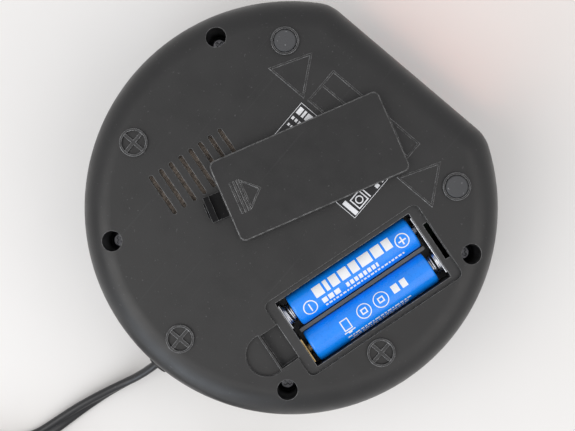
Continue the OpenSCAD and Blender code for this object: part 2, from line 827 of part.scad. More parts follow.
module button_at(i) {
    color("#2a2b2e") translate([button_names_x[i], button_y, 0]) {
        translate([0, 0, button_recess + 0.4]) cylinder(h = wall - button_recess - 0.4 + flange_gap + eps, d = button_d);
        translate([0, 0, button_recess]) cylinder(h = 0.4 + eps, d1 = button_d - 0.8, d2 = button_d);
        translate([0, 0, wall + flange_gap]) cylinder(h = button_flange_t, r = button_d / 2 + flange_out);
        translate([0, 0, wall + flange_gap]) cylinder(h = stem_end_z - wall - flange_gap, d = 3);
    }
}

module button_time() { button_at(0); }
module button_alarm_1() { button_at(1); }
module button_alarm_2() { button_at(2); }
module button_radio() { button_at(3); }
module button_down() { button_at(4); }
module button_up() { button_at(5); }

module snooze_bar() {
    color("#2a2b2e") translate([0, snooze_y, 0]) {
        rounded_box([snooze_l, snooze_w], 3, button_recess + 0.3, wall + flange_gap + eps);
        rounded_box([snooze_l - 0.6, snooze_w - 0.6], 2.7, button_recess, button_recess + 0.3 + eps);
        rounded_box([snooze_l + 2 * flange_out, snooze_w + 2 * flange_out], 3 + flange_out, wall + flange_gap,
            wall + flange_gap + button_flange_t);
        for (x = [-1, 1]) {
            translate([x * snooze_l / 3, 0, wall + flange_gap])
                cylinder(h = stem_end_z - wall - flange_gap, d = 3.4);
        }
    }
}

module transformer_core() {
    color("#5d6064") translate([core_spot[0], core_spot[1], core_foot_h]) {
        difference() {
            block([core_size[0], core_size[1]], 5, 5 + core_size[2]);
            block([winding_w + 0.4, core_size[1] - 11], 4, 6 + core_size[2]);
        }
        difference() {
            block([core_size[0] + 14, 9], 0, 1);
            for (x = [-1, 1]) {
                translate([x * (core_size[0] / 2 + 4), 0, -1]) cylinder(h = 3, d = post_screw_d + 0.6);
            }
        }
        for (x = [-1, 1]) {
            translate([x * (core_size[0] / 2 + 0.5), 0, 0]) block([1, 9], 0, 5 + core_size[2]);
        }
    }
}

module transformer_winding() {
    color("#c8a23c") translate([core_spot[0], core_spot[1], core_foot_h])
        block([winding_w, core_size[1] - 11.4], winding_z[0], winding_z[1]);
}

module transformer_screws() {
    color("#b9bcc0") translate([core_spot[0], core_spot[1], core_foot_h + core_foot_t]) for (x = [-1, 1]) {
        translate([x * (core_size[0] / 2 + 4), 0, 0]) pan_screw(4.4, 1.6, post_screw_d, core_screw_l);
    }
}

// Bushing on the cord's axis: a neck in the wall, a flange inside and a short taper outside.
module cord_bushing() {
    color("#161617") translate([0, exit_y + bushing_out, exit_z]) rotate([90, 0, 0]) difference() {
        union() {
            cylinder(h = bushing_out - 0.6, d1 = cord_w + 1.4, d2 = bushing_neck_d);
            translate([0, 0, bushing_out - 0.6 - eps]) cylinder(h = bushing_l - bushing_out + 0.6, d = bushing_neck_d);
            translate([0, 0, bushing_out + side_wall + 1.2]) cylinder(h = 1.6, d = bushing_neck_d + 3);
        }
        translate([0, 0, -1]) cylinder(h = bushing_l + 2, d = cord_w + 0.2);
    }
}

module cord_clamp() {
    color("#2a2b2e") translate([0, clamp_y, 0]) difference() {
        block([20, clamp_w], exit_z - cord_w / 2, exit_z - cord_w / 2 + 2.4);
        for (x = [-1, 1]) {
            translate([x * 7, 0, 0]) cylinder(h = 20, d = post_screw_d + 0.6);
        }
    }
}

module cord_clamp_screws() {
    color("#b9bcc0") for (x = [-1, 1]) {
        translate([x * 7, clamp_y, exit_z - cord_w / 2 + 2.4]) pan_screw(4.4, 1.6, post_screw_d, 5.5);
    }
}

module power_cord() {
    color("#141415") translate([0, cord_shift, 0]) swept_cord(lead_route);
}

module cord_coil() {
    color("#141415") translate([coil_spot[0], coil_spot[1], 0]) rotate_extrude()
        translate([coil_mid_r - cord_w - 0.1, 0]) square([2 * cord_w + 0.2, coil_layers * (cord_t + 0.1)]);
}

module cord_tail() {
    color("#141415") translate([0, cord_shift, 0]) swept_cord(tail_route);
}

module cord_tie() {
    ring_w = 2 * cord_w + 0.2;
    ring_h = coil_layers * (cord_t + 0.1);
    color("#0e0e0f") translate([coil_spot[0], coil_spot[1], 0]) rotate([0, 0, tie_turn]) {
        difference() {
            translate([coil_mid_r - ring_w / 2 - 1, -2, 0]) cube([ring_w + 2, 4, ring_h + 1]);
            translate([coil_mid_r - ring_w / 2 - 0.05, -3, -1]) cube([ring_w + 0.1, 6, ring_h + 1.02]);
        }
        translate([coil_mid_r - 1, -1.2, ring_h + 0.9]) cube([2.6, 2.4, 2.2]);
    }
}

module in_plug() {
    translate([plug_spot[0], plug_spot[1], plug_z]) rotate([0, 0, plug_turn]) children();
}

module plug_body() {
    color("#141415") in_plug() {
        hull() {
            translate([-3, 0, 0]) rotate([0, 90, 0]) linear_extrude(3) rounded_rect([plug_h - 0.4, plug_w], 3);
            translate([-plug_l, 0, 0]) rotate([0, 90, 0]) linear_extrude(1) rounded_rect([11, 15], 3);
        }
        hull() {
            translate([-plug_l, 0, 0]) rotate([0, 90, 0]) linear_extrude(1) rounded_rect([9, 11], 3);
            translate([-plug_l - plug_boot_l, 0, 0]) rotate([0, 90, 0]) linear_extrude(1)
                rounded_rect([cord_t + 1.6, cord_w + 1.6], 1.6);
        }
    }
}

module plug_pins() {
    color("#c9ccd0") in_plug() for (y = [-1, 1]) {
        translate([0, y * pin_pitch / 2, 0]) rotate([0, 90, 0]) {
            cylinder(h = pin_l - 0.8, d = pin_d);
            translate([0, 0, pin_l - 0.8 - eps]) cylinder(h = 0.8 + eps, d1 = pin_d, d2 = pin_d - 1.2);
        }
    }
}

base_shell();
battery_tray();
cell_rib();
screw_posts();
foot_rings();
cabinet();
foot_pads();
rating_label();
case_screws();
battery_cover();
cover_latch();
battery_left();
battery_right();
battery_springs();
contact_bridge();
contact_positive();
contact_negative();
speaker_basket();
speaker_cone();
speaker_magnet();
speaker_gasket();
display_lens();
display_block();
display_segments();
display_board();
main_board();
board_parts();
tuner_can();
board_screws();
button_board();
key_switches();
button_board_screws();
snooze_bar();
button_time();
button_alarm_1();
button_alarm_2();
button_radio();
button_down();
button_up();
transformer_core();
transformer_winding();
transformer_screws();
cord_bushing();
cord_clamp();
cord_clamp_screws();
power_cord();
cord_coil();
cord_tail();
cord_tie();
plug_body();
plug_pins();
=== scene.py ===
import json
import math

import bpy
from mathutils import Matrix, Vector


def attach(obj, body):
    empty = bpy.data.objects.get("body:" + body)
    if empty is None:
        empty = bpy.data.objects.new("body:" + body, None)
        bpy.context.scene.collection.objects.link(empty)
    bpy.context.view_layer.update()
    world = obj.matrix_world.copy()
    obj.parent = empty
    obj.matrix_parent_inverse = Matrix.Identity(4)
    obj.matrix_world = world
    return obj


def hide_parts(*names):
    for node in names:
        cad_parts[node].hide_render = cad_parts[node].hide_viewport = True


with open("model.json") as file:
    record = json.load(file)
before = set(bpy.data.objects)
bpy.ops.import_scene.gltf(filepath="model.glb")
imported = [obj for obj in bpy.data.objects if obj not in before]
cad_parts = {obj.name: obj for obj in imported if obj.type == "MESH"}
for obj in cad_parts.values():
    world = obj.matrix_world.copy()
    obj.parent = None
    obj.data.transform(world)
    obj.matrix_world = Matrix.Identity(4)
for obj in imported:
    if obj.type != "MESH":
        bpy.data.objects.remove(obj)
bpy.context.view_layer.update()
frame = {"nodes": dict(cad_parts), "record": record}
nodes = frame["nodes"]
MM = 0.001
ROOT = "radio"

# Camera: straight above the underside, at the height and turn that the photograph was taken from.
CAMERA_SPOT = (-0.00067, 0.00253, 0.432)
CAMERA_TURN = 220.3
CAMERA_LENS = 79.9
camera_data = bpy.data.cameras.new("camera")
camera_data.lens = CAMERA_LENS
camera_data.sensor_width = 36.0
camera_data.clip_start = 0.01
camera = bpy.data.objects.new("camera", camera_data)
camera.location = CAMERA_SPOT
camera.rotation_euler = (0, 0, math.radians(CAMERA_TURN))
bpy.context.scene.collection.objects.link(camera)
bpy.context.scene.camera = camera
# Directions of the picture on the floor, for placing the lights.
PICTURE_RIGHT = Vector((math.cos(math.radians(CAMERA_TURN)), math.sin(math.radians(CAMERA_TURN)), 0))
PICTURE_UP = Vector((-PICTURE_RIGHT.y, PICTURE_RIGHT.x, 0))


# ---------------------------------------------------------------- materials

class Nodes:
    """A short way to write a material's node tree."""

    def __init__(self, name):
        self.material = bpy.data.materials.new(name)
        self.material.use_nodes = True
        self.tree = self.material.node_tree
        self.tree.nodes.clear()
        self.output = self.add("ShaderNodeOutputMaterial")
        self.shader = self.add("ShaderNodeBsdfPrincipled")
        self.link(self.shader.outputs["BSDF"], self.output.inputs["Surface"])
        self.place = self.add("ShaderNodeTexCoord").outputs["Object"]

    def add(self, kind, **values):
        node = self.tree.nodes.new(kind)
        for key, value in values.items():
            setattr(node, key, value)
        return node

    def link(self, a, b):
        self.tree.links.new(a, b)

    def noise(self, scale, detail=3.0, rough=0.55, place=None):
        node = self.add("ShaderNodeTexNoise")
        node.inputs["Scale"].default_value = scale
        node.inputs["Detail"].default_value = detail
        node.inputs["Roughness"].default_value = rough
        self.link(place or self.place, node.inputs["Vector"])
        return node.outputs["Fac"]

    def stretched(self, scale, turn=0.0):
        node = self.add("ShaderNodeMapping")
        node.inputs["Scale"].default_value = scale
        node.inputs["Rotation"].default_value = (0, 0, math.radians(turn))
        self.link(self.place, node.inputs["Vector"])
        return node.outputs["Vector"]

    def span(self, value, low, high, to_low, to_high):
        node = self.add("ShaderNodeMapRange")
        node.inputs["From Min"].default_value = low
        node.inputs["From Max"].default_value = high
        node.inputs["To Min"].default_value = to_low
        node.inputs["To Max"].default_value = to_high
        self.link(value, node.inputs["Value"])
        return node.outputs["Result"]

    def ramp(self, value, stops):
        node = self.add("ShaderNodeValToRGB")
        while len(node.color_ramp.elements) < len(stops):
            node.color_ramp.elements.new(0.5)
        for element, (at, color) in zip(node.color_ramp.elements, stops):
            element.position = at
            element.color = (*color, 1.0)
        self.link(value, node.inputs["Fac"])
        return node.outputs["Color"]

    def mix(self, share, a, b):
        node = self.add("ShaderNodeMix", data_type="RGBA")
        self.link(share, node.inputs["Factor"])
        for socket, value in ((node.inputs[6], a), (node.inputs[7], b)):
            if isinstance(value, bpy.types.NodeSocket):
                self.link(value, socket)
            else:
                socket.default_value = (*value, 1.0)
        return node.outputs[2]

    def math(self, operation, a, b=None):
        node = self.add("ShaderNodeMath", operation=operation)
        for socket, value in zip(node.inputs, (a, b)):
            if isinstance(value, bpy.types.NodeSocket):
                self.link(value, socket)
            elif value is not None:
                socket.default_value = value
        return node.outputs["Value"]

    def edges(self, radius):
        """Rounded normals, and how close a point is to an edge."""
        bevel = self.add("ShaderNodeBevel", samples=4)
        bevel.inputs["Radius"].default_value = radius
        flat = self.add("ShaderNodeNewGeometry").outputs["Normal"]
        dot = self.add("ShaderNodeVectorMath", operation="DOT_PRODUCT")
        self.link(bevel.outputs["Normal"], dot.inputs[0])
        self.link(flat, dot.inputs[1])
        return bevel.outputs["Normal"], self.span(dot.outputs["Value"], 1.0, 0.86, 0.0, 1.0)


def tint(color, share):
    return tuple(max(0.0, min(1.0, c * share)) for c in color)


DUST_TONE = (0.42, 0.42, 0.43)
SCRATCH_TONE = (0.2, 0.2, 0.21)
# Turn in degrees and fineness of each family of scratches.
SCRATCH_FAMILIES = ((25, 900), (-50, 1300))
GRAIN_DEPTH = 0.00008


def surface(name, color, rough, metallic=0.0, grain=None, blotch=(60, 0.12), rough_spread=0.07,
            edge=None, bevel=0.00025, dust=0.0, scratches=0.0, **sockets):
    """A material with colour variation, uneven gloss, fine grain, and lighter edges that are partly wear and partly
    painted highlight.
    """
    n = Nodes(name)
    tone = n.ramp(n.noise(blotch[0], 4), [(0.3, tint(color, 1 - blotch[1])), (0.7, tint(color, 1 + blotch[1]))])
    normal, nearness = n.edges(bevel)
    gloss = n.span(n.noise(blotch[0] * 4, 5), 0.3, 0.7, rough - rough_spread, rough + rough_spread)
    # Lighter edges: partly wear, partly a painted highlight along every edge.
    if edge:
        wear_and_highlight = n.math("MULTIPLY", nearness, n.span(n.noise(700, 4), 0.35, 0.65, 0.25, 1.0))
        tone = n.mix(wear_and_highlight, tone, edge)
    if dust:
        specks = n.span(n.noise(1300, 2, 0.5), 0.7, 0.76, 0.0, dust)
        tone = n.mix(specks, tone, DUST_TONE)
    if scratches:
        for turn, scale in SCRATCH_FAMILIES:
            lines = n.noise(1.0, 2, 0.4, n.stretched((scale, scale * 0.018, scale * 0.02), turn))
            marks = n.span(lines, 0.71, 0.74, 0.0, scratches)
            tone = n.mix(marks, tone, SCRATCH_TONE)
    n.link(tone, n.shader.inputs["Base Color"])
    n.link(gloss, n.shader.inputs["Roughness"])
    n.shader.inputs["Metallic"].default_value = metallic
    if grain:
        bump = n.add("ShaderNodeBump")
        bump.inputs["Strength"].default_value = grain[1]
        bump.inputs["Distance"].default_value = GRAIN_DEPTH
        n.link(n.noise(grain[0], 3, 0.6), bump.inputs["Height"])
        n.link(normal, bump.inputs["Normal"])
        normal = bump.outputs["Normal"]
    n.link(normal, n.shader.inputs["Normal"])
    for key, value in sockets.items():
        n.shader.inputs[key.replace("_", " ")].default_value = value
    return n.material


# Lighter edges on the parts that a hand or a table touches: partly wear, partly a painted highlight where the edges
# would catch light.
EDGE_WEAR_AND_HIGHLIGHT = (0.5, 0.5, 0.51)
BLACK = (0.0135, 0.0132, 0.0132)
STEEL = (0.62, 0.62, 0.64)
# Each edge colour below lightens the edges: partly wear, partly painted highlight.
finishes = {
    "shell": surface("shell_plastic", BLACK, 0.4, grain=(2600, 0.35), blotch=(35, 0.14), edge=(0.34, 0.34, 0.345),
                     dust=0.09, scratches=0.022),
    "rib": surface("rib_plastic", (0.085, 0.085, 0.085), 0.4, grain=(2200, 0.3), edge=(0.3, 0.3, 0.3), dust=0.4),
    "pad_rubber": surface("pad_rubber", (0.05, 0.051, 0.054), 0.62, grain=(1800, 0.4), dust=0.5),
    "label": surface("label_film", (0.008, 0.008, 0.009), 0.3, grain=(900, 0.1), blotch=(90, 0.2)),
    "screw_steel": surface("screw_steel", (0.42, 0.42, 0.44), 0.34, 1.0, grain=(3000, 0.3), edge=(0.75, 0.75, 0.77)),
    "spring_steel": surface("spring_steel", (0.72, 0.73, 0.75), 0.22, 1.0, grain=(2200, 0.15), rough_spread=0.1),
    "contact_brass": surface("contact_brass", (0.72, 0.52, 0.24), 0.3, 1.0, grain=(1800, 0.2), blotch=(300, 0.2)),
    "basket_steel": surface("basket_steel", (0.5, 0.5, 0.52), 0.4, 1.0, grain=(2200, 0.2)),
    "cone_paper": surface("cone_paper", (0.34, 0.27, 0.2), 0.85, grain=(2400, 0.7), blotch=(500, 0.3)),
    "magnet": surface("ferrite", (0.06, 0.06, 0.064), 0.6, grain=(1500, 0.4), edge=(0.2, 0.2, 0.2)),
    "gasket_felt": surface("gasket_felt", (0.12, 0.105, 0.09), 0.95, grain=(3500, 0.9), blotch=(900, 0.3)),
    "block_black": surface("block_black", (0.01, 0.01, 0.011), 0.5, grain=(2000, 0.3)),
    "board": surface("board_lacquer", (0.02, 0.12, 0.045), 0.35, grain=(1200, 0.2), blotch=(400, 0.3),
                     Coat_Weight=0.4),
    "parts_black": surface("parts_black", (0.02, 0.02, 0.022), 0.4, grain=(2000, 0.3), edge=(0.1, 0.1, 0.1)),
    "tin": surface("tinned_steel", (0.6, 0.61, 0.62), 0.3, 1.0, grain=(1500, 0.2), rough_spread=0.12),
    "keys": surface("key_plastic", (0.05, 0.052, 0.056), 0.4, grain=(2600, 0.3), edge=(0.2, 0.2, 0.21)),
    "core_iron": surface("core_iron", (0.2, 0.205, 0.215), 0.5, 0.8, grain=(900, 0.5)),
    "winding": surface("winding_tape", (0.62, 0.45, 0.1), 0.35, grain=(900, 0.3), blotch=(200, 0.15)),
    "cord_rubber": surface("cord_sleeve", (0.016, 0.016, 0.0175), 0.36, grain=(1500, 0.12), blotch=(120, 0.15),
                           dust=0.2, bevel=0.0002),
    "tie": surface("tie_plastic", (0.012, 0.012, 0.013), 0.38, grain=(1800, 0.25), edge=(0.1, 0.1, 0.1)),
    "pin_metal": surface("pin_nickel", (0.74, 0.73, 0.71), 0.2, 1.0, grain=(2500, 0.12), rough_spread=0.08),
}
# Shell plastic for the foot rings and the tray, with the lightest edges: partly wear, partly painted highlight.
shell_wear_and_edge_highlight = surface("shell_wear_and_edge_highlight", (0.022, 0.022, 0.0225), 0.4, grain=(2600, 0.35), edge=EDGE_WEAR_AND_HIGHLIGHT, dust=0.2,
                     bevel=0.0003)
cover_plastic = surface("cover_plastic", tint(BLACK, 0.8), 0.36, grain=(2600, 0.3), blotch=(35, 0.14),
                        edge=(0.4, 0.4, 0.4), dust=0.09, scratches=0.022)
# Darker than the shell: painted shade standing in for the shadow in the latch's pocket.
latch_plastic_painted_shade = surface("latch_plastic_painted_shade", (0.004, 0.004, 0.0045), 0.3, grain=(2600, 0.15), edge=(0.3, 0.3, 0.3),
                        dust=0.1, Specular_IOR_Level=0.15)
blue_film = surface("cell_film", (0.002, 0.235, 0.9), 0.3, grain=(1100, 0.1), blotch=(220, 0.06),
                    Coat_Weight=0.3, Coat_Roughness=0.2)
white_print = surface("white_print", (0.8, 0.81, 0.83), 0.35, grain=(2000, 0.1), blotch=(300, 0.05))
can_steel = surface("can_steel", STEEL, 0.24, 1.0, grain=(1800, 0.15), rough_spread=0.1)
seal_ring = surface("seal_ring", (0.03, 0.05, 0.12), 0.5, grain=(1500, 0.2))


def lens_material():
    n = Nodes("red_lens")
    n.link(n.span(n.noise(300, 3), 0.3, 0.7, 0.04, 0.1), n.shader.inputs["Roughness"])
    n.link(n.ramp(n.noise(40, 2), [(0.3, (0.20, 0.006, 0.008)), (0.7, (0.26, 0.010, 0.012))]),
           n.shader.inputs["Base Color"])
    n.shader.inputs["Transmission Weight"].default_value = 0.85
    n.shader.inputs["IOR"].default_value = 1.49
    return n.material


def segment_material():
    n = Nodes("lit_segment")
    glow = n.ramp(n.noise(800, 2), [(0.3, (1.0, 0.05, 0.02)), (0.7, (1.0, 0.11, 0.05))])
    n.link(glow, n.shader.inputs["Base Color"])
    n.link(glow, n.shader.inputs["Emission Color"])
    n.shader.inputs["Emission Strength"].default_value = 9.0
    n.shader.inputs["Roughness"].default_value = 0.4
    return n.material


finishes["lens"] = lens_material()
finishes["segments"] = segment_material()
finishes["cell"] = blue_film
for row in frame["record"]["subparts"]:
    mesh = nodes[row["node"]].data
    mesh.materials.clear()
    mesh.materials.append(finishes[row["material_slot"]])
nodes["cover_latch"].data.materials[0] = latch_plastic_painted_shade
nodes["battery_cover"].data.materials[0] = cover_plastic
for name in ("foot_rings", "battery_tray"):
    nodes[name].data.materials[0] = shell_wear_and_edge_highlight


# ---------------------------------------------------------------- mesh helpers

def mesh_piece(name, points, faces, materials, body=ROOT, picks=None, smooth=True):
    """A new object from points in metres, riding on a body."""
    mesh = bpy.data.meshes.new(name)
    mesh.from_pydata([tuple(p) for p in points], [], faces)
    for material in materials:
        mesh.materials.append(material)
    if picks:
        mesh.polygons.foreach_set("material_index", picks)
    mesh.polygons.foreach_set("use_smooth", [smooth] * len(faces))
    mesh.update()
    piece = bpy.data.objects.new(name, mesh)
    bpy.context.scene.collection.objects.link(piece)
    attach(piece, body)
    return piece


def sweep(rings):
    """Points and faces of a tube with closed ends through rings of equal count."""
    count = len(rings[0])
    points = [p for ring in rings for p in ring]
    faces = []
    for i in range(len(rings) - 1):
        for k in range(count):
            j = (k + 1) % count
            faces.append((i * count + k, i * count + j, (i + 1) * count + j, (i + 1) * count + k))
    faces.append(tuple(range(count - 1, -1, -1)))
    last = (len(rings) - 1) * count
    faces.append(tuple(last + k for k in range(count)))
    return points, faces


def spot(x, y, z, turn):
    """A place in the part's frame from millimetres and a turn about Z in degrees."""
    return Matrix.Translation(Vector((x, y, z)) * MM) @ Matrix.Rotation(math.radians(turn), 4, "Z")


def smooth_step(t):
    t = max(0.0, min(1.0, t))
    return t * t * (3 - 2 * t)


def catmull(points, steps):
    """A smooth line through points of any dimension."""
    out = []
    for i in range(len(points) - 1):
        a = points[max(i - 1, 0)]
        b, c = points[i], points[i + 1]
        d = points[min(i + 2, len(points) - 1)]
        for s in range(steps):
            t = s / steps
            out.append([0.5 * (2 * q + (r - p) * t + (2 * p - 5 * q + 4 * r - u) * t * t
                               + (3 * q - p - 3 * r + u) * t ** 3) for p, q, r, u in zip(a, b, c, d)])
    out.append(list(points[-1]))
    return out


# ---------------------------------------------------------------- cord

CORD_W = 5.2
CORD_T = 2.7
# Route of the cord's middle in millimetres, and the turn of its flat side in degrees: 90 is on edge.
LEAD = [(0, 58, 11, 90), (0.1, 63, 10.8, 90), (0.6, 67.5, 9.6, 90), (1.6, 72, 7.2, 90), (3, 76.5, 4.9, 88),
        (4.8, 81, 3.4, 84), (6.8, 86, 2.8, 76), (8.6, 91, 2.7, 64), (10.2, 96, 2.5, 50), (11.6, 101, 2.2, 36),
        (12.9, 106, 1.9, 22), (14.3, 111, 1.6, 10), (15.7, 114.5, 1.4, 3), (17.7, 117.8, 1.4, 0),
        (20.2, 120.7, 1.4, 0), (23.6, 123.4, 1.4, 0), (28.3, 127, 1.4, 0), (32.1, 131.2, 1.4, 0),
        (34.8, 136.2, 1.4, 0), (36.3, 142.2, 1.4, 0), (36.1, 148.3, 1.4, 0)]
TAIL = [(-27.3, 159.3, 9.3, 0), (-29.2, 154.2, 8.2, 0), (-31, 149.2, 7.2, 0), (-32.3, 145.6, 6.9, 0)]
COIL_SPOT = (4, 154)
COIL_OUT = 31.1
COIL_IN = 25.9
LAYERS = (1.4, 4.2, 7.0, 9.8)
SLOTS = [(COIL_OUT, 0), (COIL_IN, 0), (COIL_IN, 1), (COIL_OUT, 1), (COIL_OUT, 2), (COIL_IN, 2), (COIL_IN, 3),
         (COIL_OUT, 3)]
COIL_END = 7 * 360 + 160
COIL_STEP = 5


def coil_route():
    """Turns beside and on each other; each turn's change of place comes a little earlier than the last one's."""
    route = []
    for angle in range(0, COIL_END + 1, COIL_STEP):
        radius, height = SLOTS[0][0], LAYERS[SLOTS[0][1]]
        for k in range(len(SLOTS) - 1):
            share = smooth_step((angle - (k * 360 + 290 - 25 * k)) / 65)
            radius += (SLOTS[k + 1][0] - SLOTS[k][0]) * share
            height += (LAYERS[SLOTS[k + 1][1]] - LAYERS[SLOTS[k][1]]) * share
        a = math.radians(angle)
        route.append((COIL_SPOT[0] + radius * math.cos(a), COIL_SPOT[1] + radius * math.sin(a), height, 0))
    return route


def twin_section():
    """Outline of the two-core cord: two round cores side by side with a groove between them."""
    core_r = CORD_T / 2
    centre = CORD_W / 2 - core_r
    right = [(centre + core_r * math.cos(a), core_r * math.sin(a))
             for a in [math.radians(x) for x in range(-115, 116, 23)]]
    left = [(-x, -y) for x, y in right]
    groove = core_r * 0.66
    return right + [(0, groove)] + left + [(0, -groove)]


turns = coil_route()
route = catmull(LEAD + turns[:2], 5)[:-5] + turns[:-1] + catmull([turns[-2], turns[-1]] + TAIL, 5)[5:]
section = twin_section()
rings = []
for i, (x, y, z, turn) in enumerate(route):
    ahead, behind = route[min(i + 1, len(route) - 1)], route[max(i - 1, 0)]
    along = (Vector(ahead[:3]) - Vector(behind[:3])).normalized()
    level = Vector((along.y, -along.x, 0)).normalized()
    up = level.cross(along)
    c, s = math.cos(math.radians(turn)), math.sin(math.radians(turn))
    rings.append([(Vector((x, y, z)) + level * (a * c - b * s) + up * (a * s + b * c)) * MM for a, b in section])
points, faces = sweep(rings)
flex = mesh_piece("mains_flex", points, faces, [finishes["cord_rubber"]])
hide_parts("power_cord", "cord_coil", "cord_tail")


# ---------------------------------------------------------------- plug

PLUG = spot(-50, 97, 6.9, 250)


def rounded_ring(matrix, x, width, height, radius, corner_steps=6):
    """A rounded rectangle across the plug's axis, in metres."""
    ring = []
    for cy, cz, start in ((1, 1, 0), (-1, 1, 90), (-1, -1, 180), (1, -1, 270)):
        for i in range(corner_steps + 1):
            a = math.radians(start + 90 * i / corner_steps)
            y = cy * (width / 2 - radius) + radius * math.cos(a)
            z = cz * (height / 2 - radius) + radius * math.sin(a)
            ring.append(matrix @ (Vector((x, y, z)) * MM))
    return ring


def plug_sections():
    """Stations along the plug: cord end, ribbed boot, shoulders, grip and pin face."""
    rows = [(-52, 6.2, 3.9, 1.5), (-51.6, 6.9, 4.4, 1.8)]
    for i in range(5):
        at = -49.6 + 2.7 * i
        width, height = 7.0 + 0.62 * i, 4.6 + 0.75 * i
        rows += [(at - 0.55, width - 0.5, height - 0.5, 1.7), (at - 0.35, width + 0.7, height + 0.5, 1.9),
                 (at + 0.85, width + 0.9, height + 0.6, 1.9), (at + 1.05, width - 0.4, height - 0.4, 1.7)]
    rows += [(-36.8, 11, 8.6, 2.4), (-35.9, 13.6, 10.2, 3), (-34.6, 15.4, 11.1, 3.4), (-30, 18.2, 11.5, 3.6)]
    rows += [(-22, 23.4, 12.1, 3.6), (-14, 28.6, 12.7, 3.4), (-7, 33, 13.2, 3.2), (-3.2, 35.1, 13.5, 3.1)]
    rows += [(-0.9, 35.3, 13.6, 3), (-0.25, 34.9, 13.2, 2.8), (0, 34.1, 12.4, 2.4)]
    return rows


points, faces = sweep([rounded_ring(PLUG, *row) for row in plug_sections()])
plug = mesh_piece("plug_moulding", points, faces, [finishes["cord_rubber"]])
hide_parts("plug_body")


# ---------------------------------------------------------------- cells

TRAY = spot(-32.3, 4.9, 52, -105.7)
CELL_R = 5.25
CELL_L = 44.5
CELL_SHIFT = 1.35
CELL_SIDE = 6.0
CELL_DOWN = -7.15
# Outline of a cell from its flat end to its terminal: place along the axis, radius, and 0 steel, 1 film, 2 seal.
CELL_OUTLINE = [(0.12, 0.0, 0), (0.12, 2.9, 0), (0.0, 3.2, 0), (0.0, 4.0, 0), (0.25, 4.25, 0), (0.3, 4.5, 1),
                (0.12, 4.75, 1), (0.18, 5.0, 1), (0.5, 5.2, 1), (0.9, CELL_R, 1), (42.3, CELL_R, 1), (42.75, 5.2, 1),
                (43.1, 4.95, 1), (43.2, 4.6, 1), (43.1, 4.4, 2), (43.0, 3.1, 2), (43.25, 2.9, 0), (43.7, 2.2, 0),
                (43.75, 1.9, 0), (44.2, 1.85, 0), (44.4, 1.7, 0), (44.5, 1.4, 0), (44.5, 0.0, 0)]
CELL_SIDES = 72
PRINT_LIFT = 0.02


def cell_place(side):
    """Places a cell's own frame, x from its flat end to its terminal, in the tray."""
    flip = Matrix.Rotation(math.pi if side < 0 else 0.0, 4, "Z")
    return TRAY @ Matrix.Translation(Vector((side * CELL_SHIFT, side * CELL_SIDE, CELL_DOWN)) * MM) @ flip


def cell(name, side, body, node):
    place = cell_place(side)
    rings = []
    for x, r, _ in CELL_OUTLINE[1:-1]:
        rings.append([place @ (Vector((x - CELL_L / 2, r * math.sin(a), r * math.cos(a))) * MM)
                      for a in [2 * math.pi * k / CELL_SIDES for k in range(CELL_SIDES)]])
    points, faces = sweep(rings)
    picks = [row[2] for row in CELL_OUTLINE[2:-1] for _ in range(CELL_SIDES)] + [0, 0]
    piece = mesh_piece(name, points, faces, [can_steel, blue_film, seal_ring], body, picks)
    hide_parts(node)
    return piece


def on_cell(place, s, t):
    """A point on the film, s along the cell from its middle and t round it from the top, in millimetres."""
    a = t / CELL_R
    r = CELL_R + PRINT_LIFT
    return place @ (Vector((s, r * math.sin(a), r * math.cos(a))) * MM)


class Print:
    """Thin white shapes laid on a curved or flat face."""

    def __init__(self, put):
        self.put, self.points, self.faces = put, [], []

    def bar(self, s0, s1, t0, t1):
        steps = max(1, math.ceil(abs(t1 - t0) / 0.4))
        first = len(self.points)
        for i in range(steps + 1):
            t = t0 + (t1 - t0) * i / steps
            self.points += [self.put(s0, t), self.put(s1, t)]
        for i in range(steps):
            k = first + 2 * i
            self.faces.append((k, k + 1, k + 3, k + 2))

    def frame(self, s0, s1, t0, t1, line):
        self.bar(s0, s1, t0, t0 + line)
        self.bar(s0, s1, t1 - line, t1)
        self.bar(s0, s0 + line, t0 + line, t1 - line)
        self.bar(s1 - line, s1, t0 + line, t1 - line)

    def ring(self, s, t, r0, r1, steps=40):
        first = len(self.points)
        for i in range(steps):
            a = 2 * math.pi * i / steps
            self.points += [self.put(s + r * math.cos(a), t + r * math.sin(a)) for r in (r0, r1)]
        for i in range(steps):
            k, j = first + 2 * i, first + 2 * ((i + 1) % steps)
            self.faces.append((k, k + 1, j + 1, j))

    def row(self, s0, s1, t, height, widths, gap):
        """A row of blocks in the rhythm of print, until it is full."""
        s, i = s0, 0
        while s < s1 - 0.2:
            e = min(s + widths[i % len(widths)], s1)
            self.bar(s, e, t - height / 2, t + height / 2)
            s, i = e + gap, i + 1


